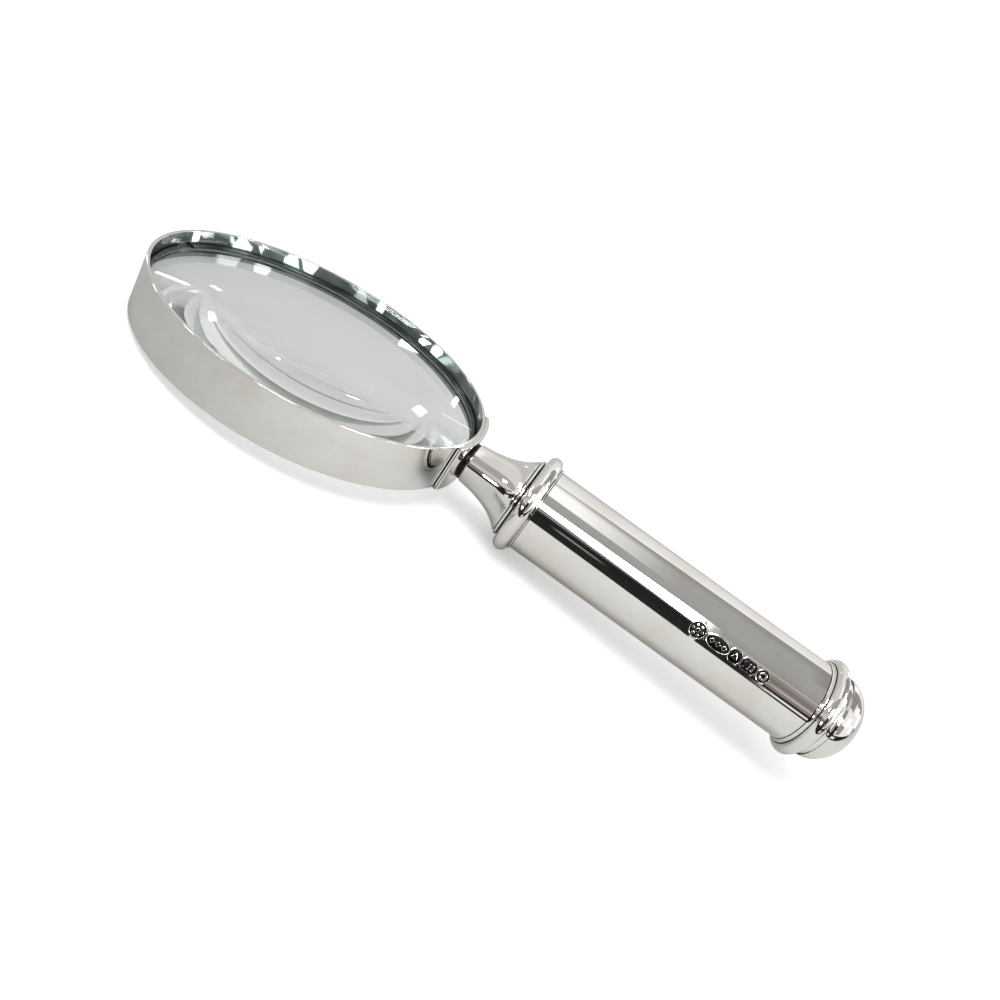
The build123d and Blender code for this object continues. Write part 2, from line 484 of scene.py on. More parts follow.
@dataclass(frozen=True)
class WorkedMetal:
    """A plain metal as it left the lathe or the drawing die, with its tool marks along one lay."""

    name: str
    colour: str
    stained: str
    lay: Triple
    roughness: float
    mark: float
    mark_depth: float
    stain: float = 2.5

    def build(self) -> Material:
        """Makes the material.

        Returns:
            The material.
        """
        material, tree, place = bare_material(self.name)
        stretched = add_node(tree, "Mapping", {"Vector": place, "Scale": self.lay})
        marks = add_node(tree, "TexNoise", {
            "Vector": stretched, "Scale": per_mm(self.mark), "Detail": 2.0,
        })
        stains = add_node(tree, "TexNoise", {
            "Vector": place, "Scale": per_mm(self.stain), "Detail": 4.0,
        })
        colour = add_node(tree, "ValToRGB", {"Fac": stains}, stops=[
            (0.38, linear(self.colour)), (0.72, linear(self.stained)),
        ])
        rubbed = add_node(tree, "MapRange", {
            "Value": marks, "From Min": 0.3, "From Max": 0.7,
            "To Min": self.roughness * 0.75, "To Max": self.roughness * 1.35,
        })
        relief = add_node(tree, "Bump", {
            "Height": marks, "Strength": 1.0, "Distance": self.mark_depth * MM,
        })
        return dress(material, {
            "Base Color": colour, "Roughness": rubbed, "Normal": relief, "Metallic": 1.0,
        })


@dataclass(frozen=True)
class VulcanisedFibre:
    """Black vulcanised fibre, punched from sheet: matt, mottled, slightly furred at its edge."""

    name: str
    colour: str = "#141416"
    fur: str = "#2A2A2B"
    fleck: float = 0.18

    def build(self) -> Material:
        """Makes the material.

        Returns:
            The material.
        """
        material, tree, place = bare_material(self.name)
        flecks = add_node(tree, "TexNoise", {
            "Vector": place, "Scale": per_mm(self.fleck), "Detail": 4.0, "Roughness": 0.7,
        })
        colour = add_node(tree, "ValToRGB", {"Fac": flecks}, stops=[
            (0.4, linear(self.colour)), (0.75, linear(self.fur)),
        ])
        relief = add_node(tree, "Bump", {"Height": flecks, "Strength": 0.7, "Distance": 0.02 * MM})
        return dress(material, {"Base Color": colour, "Roughness": 0.62, "Normal": relief})


@dataclass(frozen=True)
class TurnedBeech:
    """Beech turned along its grain and left bare: pale, with growth lines and short dark flecks."""

    name: str
    early: str = "#C99F6C"
    late: str = "#A9794A"
    fleck_colour: str = "#7A4E2B"
    growth: float = 1.4
    fleck: float = 0.35

    def build(self) -> Material:
        """Makes the material.

        Returns:
            The material.
        """
        material, tree, place = bare_material(self.name)
        grain = add_node(tree, "Mapping", {"Vector": place, "Scale": (0.06, 1.0, 1.0)})
        growth = add_node(tree, "TexWave", {
            "Vector": grain, "Scale": per_mm(self.growth) / WAVE_PERIOD, "Distortion": 3.0,
            "Detail": 3.0, "Detail Scale": 1.5,
        }, bands_direction="Z").outputs["Fac"]
        rings = add_node(tree, "ValToRGB", {"Fac": growth}, stops=[
            (0.2, linear(self.early)), (0.9, linear(self.late)),
        ])
        rays = add_node(tree, "TexVoronoi", {"Vector": grain, "Scale": per_mm(self.fleck)})
        flecked = add_node(tree, "MapRange", {
            "Value": rays, "From Min": 0.05, "From Max": 0.2, "To Min": 0.55, "To Max": 0.0,
        })
        colour = add_node(tree, "Mix", {
            "Factor": flecked, "A": rings, "B": linear(self.fleck_colour),
        }, data_type="RGBA")
        relief = add_node(tree, "Bump", {"Height": growth, "Strength": 0.4, "Distance": 0.03 * MM})
        return dress(material, {"Base Color": colour, "Roughness": 0.6, "Normal": relief})


@dataclass
class Finishes:
    """Every material on the lens, made once."""

    handle_silver: Material = field(
        default_factory=PolishedSilver("sterling_silver_turned_and_buffed", ALONG_HANDLE).build)
    rim_silver: Material = field(
        default_factory=PolishedSilver("sterling_silver_rolled_and_buffed", ALONG_OPTICAL_AXIS).build)
    # the rim's inner wall: the same polished silver coloured darker and greener, so its reflections
    # come out darker
    darker_rim_silver: Material = field(default_factory=PolishedSilver(
        "sterling_silver_darker_inside_the_rim", ALONG_OPTICAL_AXIS, "#A7B0AB", "#98A19C",
        (0.03, 0.07), wave=9.0).build)
    # silver sulphide in the joints and the struck marks; on the saddle's end faces it is painted shade
    tarnish_and_painted_shade: Material = field(default_factory=WorkedMetal(
        "silver_sulphide_and_painted_shade_in_the_joints", "#2B2928", "#1C1A19", ALONG_HANDLE, 0.3, 0.1, 0.002).build)
    filed_silver: Material = field(default_factory=SatinSilver("sterling_silver_filed_edge").build)
    glass: Material = field(default_factory=CrownGlass("crown_glass_polished").build)
    ground_glass: Material = field(default_factory=GroundGlass("crown_glass_ground_edge").build)
    wire: Material = field(default_factory=WorkedMetal(
        "nickel_silver_wire_dulled", "#50554F", "#3B3F3C", (0.05, 0.05, 1.0), 0.2, 0.1, 0.002).build)
    steel: Material = field(default_factory=WorkedMetal(
        "mild_steel_turned", "#A9ABAD", "#8B8880", ALONG_HANDLE, 0.3, 0.12, 0.004).build)
    brass: Material = field(default_factory=WorkedMetal(
        "brass_turned", "#B79A5E", "#8E7240", ALONG_HANDLE, 0.24, 0.14, 0.004).build)
    fibre: Material = field(default_factory=VulcanisedFibre("vulcanised_fibre_black").build)
    beech: Material = field(default_factory=TurnedBeech("beech_turned").build)


@dataclass
class LensFrame:
    """The rim, the glass held in it by two wire rings, and the saddle that carries the neck."""

    finishes: Finishes
    rim_r: float = 39.0
    rim_half_height: float = 5.5
    rim_wall: float = 0.8
    rim_ease: float = 0.15
    lens_r: float = 38.1
    lens_half_edge: float = 1.5
    lens_bulge: float = 2.3
    lens_bevel: float = 0.3
    wire_r: float = 0.45
    wire_gap_deg: float = 7.0
    cement: float = 0.03
    saddle_t: float = 1.05
    saddle_half_deg: float = 18.0
    saddle_turn_deg: float = 3.3
    painted_shade_line: float = 0.2
    boss_r: float = 4.45
    boss_ease: float = 0.05
    boss_steps: int = 128
    spigot_r: float = 3.0
    neck_face_x: float = 40.3
    stud_r: float = 2.0
    stud_x: Pair = (39.1, 50.0)
    stud_chamfer: float = 0.45
    pitch: float = 0.7
    thread_depth: float = 0.6134
    steps_per_turn: int = 40
    round_steps: int = 288
    lens_steps: int = 192
    face_steps: int = 40
    wire_steps: int = 240
    wire_sides: int = 16
    saddle_steps: int = 48
    saddle_corner: float = 0.3
    saddle_ease: float = 0.09

    def build(self) -> None:
        """Makes every piece of the frame."""
        self.rim_band()
        self.lens()
        self.wire_ring("lens_seat_ring", -1.0, 0.0)
        self.wire_ring("lens_retaining_ring", 1.0, self.wire_gap_deg)
        self.saddle_plate()
        self.neck_boss()
        self.frame_stud()

    def rim_band(self) -> None:
        """The plain band, with its edges eased."""
        inner, h, e = self.rim_r - self.rim_wall, self.rim_half_height, self.rim_ease
        bm = turned([
            Corner(-h, inner, e), Corner(-h, self.rim_r, e), Corner(h, self.rim_r, e),
            Corner(h, inner, e),
        ], Axis.OPTICAL, self.round_steps)
        # faces of the inner wall take the darker silver
        for face in bm.faces:
            face.material_index = int(face.calc_center_median().xy.length < inner + e / 4)
        piece(bm, "rim", Body.LENS_FRAME,
              [self.finishes.rim_silver, self.finishes.darker_rim_silver], "rim_band")

    def face_height(self, radius: float) -> float:
        """Height of the upper face of the glass above its mid-plane.

        Args:
            radius: distance from the optical axis.

        Returns:
            The height.
        """
        curve = (self.lens_r**2 + self.lens_bulge**2) / (2 * self.lens_bulge)
        crown = self.lens_half_edge + self.lens_bulge
        return crown - curve + math.sqrt(curve**2 - radius**2)

    def lens(self) -> None:
        """The double-convex glass: polished faces and a ground, bevelled edge."""
        polished = self.lens_r - self.lens_bevel
        wall = self.lens_half_edge - self.lens_bevel
        radii = [polished * i / self.face_steps for i in range(self.face_steps + 1)]
        upper = [Corner(self.face_height(r), r) for r in radii]
        lower = [Corner(-c.along, c.radius) for c in reversed(upper)]
        edge = [Corner(wall, self.lens_r), Corner(-wall, self.lens_r)]
        bm = turned(upper + edge + lower, Axis.OPTICAL, self.lens_steps, closed=False)
        for face in bm.faces:
            face.material_index = int(face.calc_center_median().xy.length > polished)
        piece(bm, "magnifying_glass", Body.LENS_FRAME,
              [self.finishes.glass, self.finishes.ground_glass], "lens")

    def wire_ring(self, node: str, side: float, gap_deg: float) -> None:
        """A drawn-wire ring that lies on the glass inside the rim.

        Args:
            node: the CAD node that it stands for.
            side: 1 above the glass, -1 below it.
            gap_deg: the gap between its ends, which lies opposite the handle.
        """
        ring_r = self.rim_r - self.rim_wall - self.cement - self.wire_r
        height = side * (self.face_height(ring_r) + self.wire_r + 2 * self.cement)
        bm = bmesh.new()
        bmesh.ops.create_circle(bm, cap_ends=gap_deg > 0, segments=self.wire_sides, radius=self.wire_r)
        swing(bm, 90.0, "X")
        bmesh.ops.translate(bm, vec=(ring_r, 0, height), verts=bm.verts[:])
        swing(bm, 180.0 + gap_deg / 2, "Z")
        section = bm.faces[:] or bm.verts[:] + bm.edges[:]
        spin(bm, section, Axis.OPTICAL, self.wire_steps, 360.0 - gap_deg)
        name = node.replace("lens_", "wire_")
        piece(bm, name, Body.LENS_FRAME, [self.finishes.wire], node)

    def saddle_plate(self) -> None:
        """The curved plate brazed over the rim's joint, with filed edges and a polished face."""
        inner, outer, h = self.rim_r + CLEARANCE, self.rim_r + self.saddle_t, self.rim_half_height
        bm = bmesh.new()
        corners = ((inner, -h), (outer, -h), (outer, h), (inner, h))
        bm.faces.new([bm.verts.new((r, 0, z)) for r, z in corners])
        swing(bm, self.saddle_turn_deg - self.saddle_half_deg, "Z")
        spin(bm, bm.faces[:], Axis.OPTICAL, self.saddle_steps, 2 * self.saddle_half_deg)
        bmesh.ops.recalc_face_normals(bm, faces=bm.faces[:])
        uprights = [
            e for e in bm.edges
            if e.calc_face_angle(0.0) > 1.0 and abs(e.verts[0].co.z - e.verts[1].co.z) > h
            and e.verts[0].co.xy.length > (inner + outer) / 2
        ]
        self.ease_edges(bm, uprights, self.saddle_corner, 4)
        # the outer face's border, its rounded corners included
        border = [
            e for e in bm.edges
            if e.calc_face_angle(0.0) > 0.9
            and ((e.verts[0].co + e.verts[1].co) / 2).xy.length > outer - 0.4
        ]
        self.ease_edges(bm, border, self.saddle_ease, 3)
        for face in bm.faces:
            face.material_index = int(abs(face.normal.z) > 0.9)
        # painted shade: a dark border round each end face, along the corner against the band and along
        # the eased edge
        ends = sorted(bm.faces, key=lambda f: abs(f.normal.y) > 0.9 and f.calc_area())[-2:]
        joint = bmesh.ops.inset_region(bm, faces=ends, thickness=self.painted_shade_line, use_even_offset=True)
        for face in joint["faces"]:
            face.material_index = 2
        f = self.finishes
        piece(bm, "saddle", Body.LENS_FRAME, [f.rim_silver, f.filed_silver, f.tarnish_and_painted_shade],
              "saddle_plate")

    def ease_edges(self, bm: BMesh, edges: list, width: float, segments: int) -> None:
        """Rounds some of a mesh's edges."""
        bmesh.ops.bevel(bm, geom=edges, offset=width, offset_type="OFFSET", segments=segments,
                        profile=0.5, affect="EDGES", material=-1, clamp_overlap=True)

    def neck_boss(self) -> None:
        """The boss through the saddle: a spigot and a flange whose back follows the plate."""
        seat, hole = self.rim_r + self.saddle_t + CLEARANCE, self.stud_r + CLEARANCE
        start, face = self.rim_r + CLEARANCE, self.neck_face_x
        bm = turned([
            Corner(start, hole), Corner(face, hole), Corner(face, self.boss_r, self.boss_ease),
            Corner(seat, self.boss_r), Corner(seat, self.spigot_r), Corner(start, self.spigot_r),
        ], Axis.HANDLE, self.boss_steps)
        # the flange's back follows the round of the saddle
        for vert in bm.verts:
            if abs(vert.co.x - seat) < MERGE:
                vert.co.x = math.sqrt(seat**2 - vert.co.y**2)
        piece(bm, "neck_boss_flange", Body.LENS_FRAME, [self.finishes.tarnish_and_painted_shade],
              "neck_boss")

    def frame_stud(self) -> None:
        """The M4 stud on the handle's axis, with its right-hand thread and a chamfered far end."""
        depth = self.thread_depth * self.pitch
        start, end = self.stud_x
        turns = math.ceil((end - start) / self.pitch) + 2
        tooth = ((0.0, depth), (0.25, depth), (0.5625, 0.0), (0.6875, 0.0), (1.0, depth))
        first = start - 1.5 * self.pitch
        bm = bmesh.new()
        verts = [
            bm.verts.new((first + along * self.pitch, sunk - self.stud_r, 0.0))
            for along, sunk in tooth
        ]
        edges = [bm.edges.new(pair) for pair in zip(verts, verts[1:])]
        bmesh.ops.spin(
            bm, geom=verts + edges, cent=(0, 0, 0), axis=(1, 0, 0),
            dvec=(self.pitch / self.steps_per_turn, 0, 0), angle=2 * math.pi * turns,
            steps=self.steps_per_turn * turns, use_merge=False, use_duplicate=False,
        )
        bmesh.ops.remove_doubles(bm, verts=bm.verts[:], dist=MERGE)
        for cut, outward in ((start, -1.0), (end, 1.0)):
            bmesh.ops.bisect_plane(
                bm, geom=bm.verts[:] + bm.edges[:] + bm.faces[:], dist=MERGE / 10,
                plane_co=(cut, 0, 0), plane_no=(outward, 0, 0), clear_outer=True,
            )
        for vert in bm.verts:
            limit = self.stud_r - depth + max(0.0, min(end - vert.co.x, self.stud_chamfer))
            reach = vert.co.yz.length
            if reach > limit:
                vert.co.y *= limit / reach
                vert.co.z *= limit / reach
        bmesh.ops.remove_doubles(bm, verts=bm.verts[:], dist=MERGE)
        bmesh.ops.holes_fill(bm, edges=[e for e in bm.edges if e.is_boundary], sides=0)
        piece(bm, "threaded_stud", Body.LENS_FRAME, [self.finishes.steel], "frame_stud")


@dataclass
class NeckWasher:
    """The thin black washer between the boss and the ferrule."""

    finishes: Finishes
    x: Pair = (40.32, 40.66)
    outer: float = 4.4
    hole: float = 2.06
    ease: float = 0.06
    round_steps: int = 128

    def build(self) -> None:
        """Makes the washer."""
        bm = flat_ring(self.x, self.hole, self.outer, self.ease, self.round_steps)
        piece(bm, "fibre_washer", Body.WASHER, [self.finishes.fibre], "neck_washer")


@dataclass
class Ferrule:
    """The trumpet between the neck and the collar, hollow behind its lip."""

    finishes: Finishes
    x: float = 40.7
    neck_r: float = 4.75
    neck_ease: float = 0.15
    curve: tuple[Pair, Pair] = ((46.5, 5.25), (50.6, 6.6))
    lip: Pair = (53.0, 9.1)
    lip_t: float = 0.35
    lip_ease: float = 0.12
    bore_r: float = 3.4
    hollow_r: float = 7.2
    hollow_floor_r: float = 4.4
    flare_points: int = 40
    hollow_x: float = 50.8
    round_steps: int = 224

    def build(self) -> None:
        """Makes the ferrule."""
        neck = (self.x + self.neck_ease, self.neck_r)
        knots = [Vector((*p, 0.0)) for p in (neck, *self.curve, self.lip)]
        flare = [Corner(p.x, p.y) for p in interpolate_bezier(*knots, self.flare_points)]
        lip_end = self.lip[0] + self.lip_t
        bm = turned([
            *flare[:-1],
            Corner(*self.lip, self.lip_ease),
            Corner(lip_end, self.lip[1], self.lip_ease),
            Corner(lip_end, self.hollow_r),
            Corner(self.hollow_x, self.hollow_floor_r),
            Corner(self.hollow_x, self.bore_r),
            Corner(self.x, self.bore_r),
            Corner(self.x, self.neck_r - self.neck_ease),
        ], Axis.HANDLE, self.round_steps)
        silver_piece(bm, "trumpet_ferrule", "ferrule", self.finishes, (-math.inf, lip_end))


@dataclass
class Collar:
    """The rings between the ferrule and the tube."""

    finishes: Finishes
    thin_x: Pair = (53.45, 54.35)
    thin_r: float = 9.7
    bead_x: Pair = (54.45, 57.95)
    bead_r: float = 12.0
    seat_x: Pair = (57.99, 58.39)
    seat_r: float = 10.45
    seat_ease: float = 0.12
    hole: float = 6.02
    round_steps: int = 224

    def build(self) -> None:
        """Makes the three rings."""
        thin = half_round(self.thin_x, self.thin_r, self.hole, self.round_steps)
        silver_piece(thin, "thin_collar_ring", "collar_thin_ring", self.finishes, self.thin_x)
        bead = half_round(self.bead_x, self.bead_r, self.hole, self.round_steps)
        silver_piece(bead, "front_bead", "collar_bead", self.finishes, self.bead_x)
        seat = flat_ring(self.seat_x, self.hole, self.seat_r, self.seat_ease, self.round_steps)
        silver_piece(seat, "front_seat_ring", "collar_seat_ring", self.finishes, self.seat_x)


def silver_piece(bm: BMesh, name: str, node: str, finishes: Finishes,
                 joints: Pair | None = None) -> None:
    """Makes a mesh a silver piece of the handle, tarnished where it meets its neighbours.

    Args:
        bm: the mesh, in millimetres; it is freed.
        name: the piece's name.
        node: the CAD node that it stands for.
        finishes: the lens's materials.
        joints: where its tarnished ends lie along X, if it has them.
    """
    for face in bm.faces if joints else ():
        x = face.calc_center_median().x
        face.material_index = int(min(x - joints[0], joints[1] - x) < JOINT_DEPTH)
    piece(bm, name, Body.HANDLE, [finishes.handle_silver, finishes.tarnish_and_painted_shade], node)


def flat_ring(span: Pair, hole: float, radius: float, ease: float, steps: int) -> BMesh:
    """A flat ring on the handle's axis, with its outer edges eased.

    Args:
        span: where it starts and ends along X.
        hole: its hole's radius.
        radius: its outer radius.
        ease: the radius of its outer edges.
        steps: number of steps round.

    Returns:
        The mesh, in millimetres.
    """
    x0, x1 = span
    return turned([
        Corner(x0, hole), Corner(x1, hole), Corner(x1, radius, ease), Corner(x0, radius, ease),
    ], Axis.HANDLE, steps)


def half_round(span: Pair, crest: float, hole: float, steps: int) -> BMesh:
    """A ring on the handle's axis whose outer edge is a half round.

    Args:
        span: where it starts and ends along X.
        crest: its largest radius.
        hole: its hole's radius.
        steps: number of steps round.

    Returns:
        The mesh, in millimetres.
    """
    x0, x1 = span
    rise = (x1 - x0) / 2
    # just short of a semicircle, so that the arc's centre is well defined
    crown = arc((x0, crest - rise), (x1, crest - rise), rise * 0.9999, CROWN_STEPS)
    return turned([Corner(x1, hole), Corner(x0, hole), *crown], Axis.HANDLE, steps)


def coved(span: Pair, radii: Pair, hole: float, hollow: float, steps: int) -> BMesh:
    """A ring whose outside sweeps in a hollow curve from one radius to the other.

    Args:
        span: where it starts and ends along X.
        radii: its outer radius at the start and at the end.
        hole: its hole's radius.
        hollow: how far the curve sinks below the straight line.
        steps: number of steps round.

    Returns:
        The mesh, in millimetres.
    """
    x0, x1 = span
    curve = arc((x0, radii[0]), (x1, radii[1]), -hollow, COVE_STEPS)
    return turned([Corner(x1, hole), Corner(x0, hole), *curve], Axis.HANDLE, steps)


class Motif(Enum):
    """The ornament left standing inside each struck mark."""

    ROSETTE = "rosette"
    LOZENGES = "lozenges"
    TRIANGLE = "triangle"
    BARS = "bars"
    RINGLET = "ringlet"


def box_distance(u: float, v: float, width: float, height: float, corner: float = 0.0) -> float:
    """Signed distance to a rectangle with rounded corners, negative inside.

    Args:
        u: distance from its middle across it.
        v: distance from its middle up it.
        width: its full width.
        height: its full height.
        corner: its corner radius.

    Returns:
        The distance.
    """
    du, dv = abs(u) - width / 2 + corner, abs(v) - height / 2 + corner
    return math.hypot(max(du, 0.0), max(dv, 0.0)) + min(max(du, dv), 0.0) - corner


@dataclass(frozen=True)
class StruckMark:
    """One punch mark: a sunk outline in which a plain motif is left standing."""

    motif: Motif
    x: float

    def outline(self, u: float, v: float) -> float:
        """Signed distance to the mark's outline, negative inside.

        Args:
            u: distance from its middle along the handle.
            v: distance from its middle round the handle.

        Returns:
            The distance.
        """
        if self.motif is Motif.ROSETTE:
            return math.hypot(u, v) - 1.8
        if self.motif is Motif.LOZENGES:
            return (math.hypot(u / 2.85, v / 1.45) - 1.0) * 1.45
        if self.motif is Motif.TRIANGLE:
            return box_distance(u, v, 2.7, 2.9, 0.9)
        if self.motif is Motif.BARS:
            return max(box_distance(u, v, 3.7, 2.6), (abs(u) + abs(v) - 2.55) * 0.7071)
        return math.hypot(u, v) - 1.4

    def standing(self, u: float, v: float) -> float:
        """Signed distance to the motif that is left standing, negative inside.

        Args:
            u: distance from its middle along the handle.
            v: distance from its middle round the handle.

        Returns:
            The distance.
        """
        if self.motif is Motif.ROSETTE:
            turn = math.atan2(v, u)
            petal = (turn + math.pi / 6) % (math.pi / 3) - math.pi / 6
            reach = math.hypot(u, v)
            dot = math.hypot(reach * math.cos(petal) - 1.12, reach * math.sin(petal)) - 0.33
            return min(dot, reach - 0.5)
        if self.motif is Motif.LOZENGES:
            return min((abs(u - at) + abs(v) - 0.67) * 0.7071 for at in (-1.5, 0.0, 1.5))
        if self.motif is Motif.TRIANGLE:
            return max(-v - 0.5, v * 0.5 + abs(u) * 0.866 - 0.5)
        if self.motif is Motif.BARS:
            return min(box_distance(u - at, v, 0.42, 1.5) for at in (-1.0, 0.0, 1.0))
        reach = math.hypot(u, v)
        return max(reach - 0.95, 0.5 - reach)


def eased_step(value: float, low: float, high: float) -> float:
    """A smooth step from 0 at low to 1 at high.

    Args:
        value: what is stepped.
        low: where the step starts.
        high: where it ends.

    Returns:
        The step, from 0 to 1.
    """
    t = min(max((value - low) / (high - low), 0.0), 1.0)
    return t * t * (3 - 2 * t)


@dataclass
class Grip:
    """The plain tube, with its row of struck marks."""

    finishes: Finishes
    x: Pair = (58.43, 129.3)
    r: float = 10.04
    wall: float = 0.6
    ease: float = 0.08
    mark_angle_deg: float = 20.0
    mark_depth: float = 0.17
    mark_wall: float = 0.13
    tarnished_below: float = 0.12
    motif_share: float = 0.92
    burr: float = 0.012
    burr_at: float = 0.08
    burr_width: float = 0.09
    grid: float = 0.07
    margin: Pair = (2.6, 2.4)
    mark_reach: Pair = (3.4, 2.2)
    marked_half_deg: float = 11.0
    plain_steps: int = 112
    marks: tuple[StruckMark, ...] = (
        StruckMark(Motif.ROSETTE, 100.0),
        StruckMark(Motif.LOZENGES, 105.1),
        StruckMark(Motif.TRIANGLE, 109.4),
        StruckMark(Motif.BARS, 112.9),
        StruckMark(Motif.RINGLET, 116.5),
    )

    def relief(self, x: float, around: float) -> float:
        """How far the struck surface stands above the plain tube; sunk is negative.

        Args:
            x: place along the handle.
            around: distance round the tube from the row's middle line.

        Returns:
            The height.
        """
        height = 0.0
        for mark in self.marks:
            u = x - mark.x
            if abs(u) > self.mark_reach[0]:
                continue
            outside = mark.outline(u, around)
            sunk = eased_step(-outside, 0.0, self.mark_wall)
            standing = eased_step(-mark.standing(u, around), -self.mark_wall / 2, self.mark_wall / 2)
            height -= self.mark_depth * sunk * (1 - self.motif_share * standing)
            height += self.burr * math.exp(-((outside - self.burr_at) / self.burr_width) ** 2)
        return height

    def build(self) -> None:
        """Makes the tube: a fine grid where it is struck, and coarse steps elsewhere."""
        x0, x1 = self.x
        inner = self.r - self.wall
        first, last = self.marks[0].x - self.margin[0], self.marks[-1].x + self.margin[1]
        count = round((last - first) / self.grid)
        fine = [Corner(first + (last - first) * i / count, self.r) for i in range(count + 1)]
        bm = bmesh.new()
        draw_section(bm, [
            Corner(x0, inner), Corner(x0, self.r, self.ease), *fine, Corner(x1, self.r, self.ease),
            Corner(x1, inner),
        ], Axis.HANDLE)
        swing(bm, self.marked_half_deg - self.mark_angle_deg, "X")
        marked = 2 * self.marked_half_deg
        fine_steps = round(math.radians(marked) * self.r / self.grid)
        after = spin(bm, bm.verts[:] + bm.edges[:], Axis.HANDLE, fine_steps, marked)
        spin(bm, after, Axis.HANDLE, self.plain_steps, 360.0 - marked)
        middle = math.radians(self.mark_angle_deg)
        for vert in bm.verts:
            around = (math.atan2(vert.co.z, -vert.co.y) - middle) * self.r
            outside = vert.co.yz.length > self.r - 1e-3
            if not outside or abs(around) > self.mark_reach[1] or not first <= vert.co.x <= last:
                continue
            height = self.relief(vert.co.x, around)
            vert.co.y *= 1 + height / self.r
            vert.co.z *= 1 + height / self.r
            if height < -self.tarnished_below:
                for face in vert.link_faces:
                    face.material_index = 1
        silver_piece(bm, "grip_tube", "handle_tube", self.finishes)


@dataclass
class EndCap:
    """The rings and the hollow dome that close the handle."""

    finishes: Finishes
    seat_x: Pair = (129.34, 130.1)
    seat_r: Pair = (10.1, 10.65)
    seat_hollow: float = 0.12
    bead_x: Pair = (130.18, 133.4)
    bead_r: float = 12.05
    neck_x: Pair = (133.44, 135.1)
    neck_r: Pair = (10.2, 9.75)
    neck_hollow: float = 0.25
    dome_x: Pair = (135.14, 142.35)
    dome_r: float = 10.15
    dome_wall: float = 0.9
    dome_steps: tuple[int, int] = (40, 20)
    hole: float = 6.02
    round_steps: int = 224

    def build(self) -> None:
        """Makes the four pieces of the cap."""
        seat = coved(self.seat_x, self.seat_r, self.hole, self.seat_hollow, self.round_steps)
        silver_piece(seat, "rear_seat_ring", "end_seat_ring", self.finishes, self.seat_x)
        bead = half_round(self.bead_x, self.bead_r, self.hole, self.round_steps)
        silver_piece(bead, "rear_bead", "end_bead", self.finishes, self.bead_x)
        neck = coved(self.neck_x, self.neck_r, self.hole, self.neck_hollow, self.round_steps)
        silver_piece(neck, "rear_neck_ring", "end_neck_ring", self.finishes)
        outside, inside = self.dome_steps
        shell = self.quarter(0.0, outside) + self.quarter(self.dome_wall, inside)[::-1]
        dome = turned(shell, Axis.HANDLE, self.round_steps, closed=False)
        silver_piece(dome, "domed_end", "end_dome", self.finishes)

    def quarter(self, inset: float, steps: int) -> list[Corner]:
        """Points on the dome's quarter ellipse, from its tip to its mouth.

        Args:
            inset: how far the curve lies inside the outer surface.
            steps: number of segments.

        Returns:
            The points as plain corners.
        """
        x0, x1 = self.dome_x
        angles = [math.pi / 2 * i / steps for i in range(steps + 1)]
        return [
            Corner(x0 + (x1 - x0 - inset) * math.cos(a), (self.dome_r - inset) * math.sin(a))
            for a in angles
        ]


@dataclass
class InnerWorks:
    """What the handle is loaded and pulled together with: CAD nodes in their own finishes."""

    finishes: Finishes

    def build(self) -> None:
        """Gives each hidden node its finish."""
        f = self.finishes
        dressed = {
            "threaded_bush": f.brass, "front_plug": f.brass, "rear_plug": f.brass,
            "tie_rod": f.steel, "rear_washer": f.steel, "rear_nut": f.steel, "handle_core": f.beech,
        }
        for name, finish in dressed.items():
            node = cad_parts[name]
            if not node.material_slots:
                node.data.materials.append(finish)
            for slot in node.material_slots:
                slot.material = finish
            LOG.info("%s keeps its CAD shape, finished in %s", name, finish.name)


@dataclass(frozen=True)
class Card:
    """A soft-edged panel of the studio, placed by the direction it is seen in, in degrees.

    rise is the angle up and over from the camera-side horizon, and side the angle towards +X. Each
    limit of rise may lean, so that the edge moves by so many degrees of rise per degree of side.
    """

    rise: Pair
    side: Pair
    light: Triple
    soft: tuple[float, float, float, float] = (1.0, 1.0, 1.0, 1.0)
    lean: Pair = (0.0, 0.0)


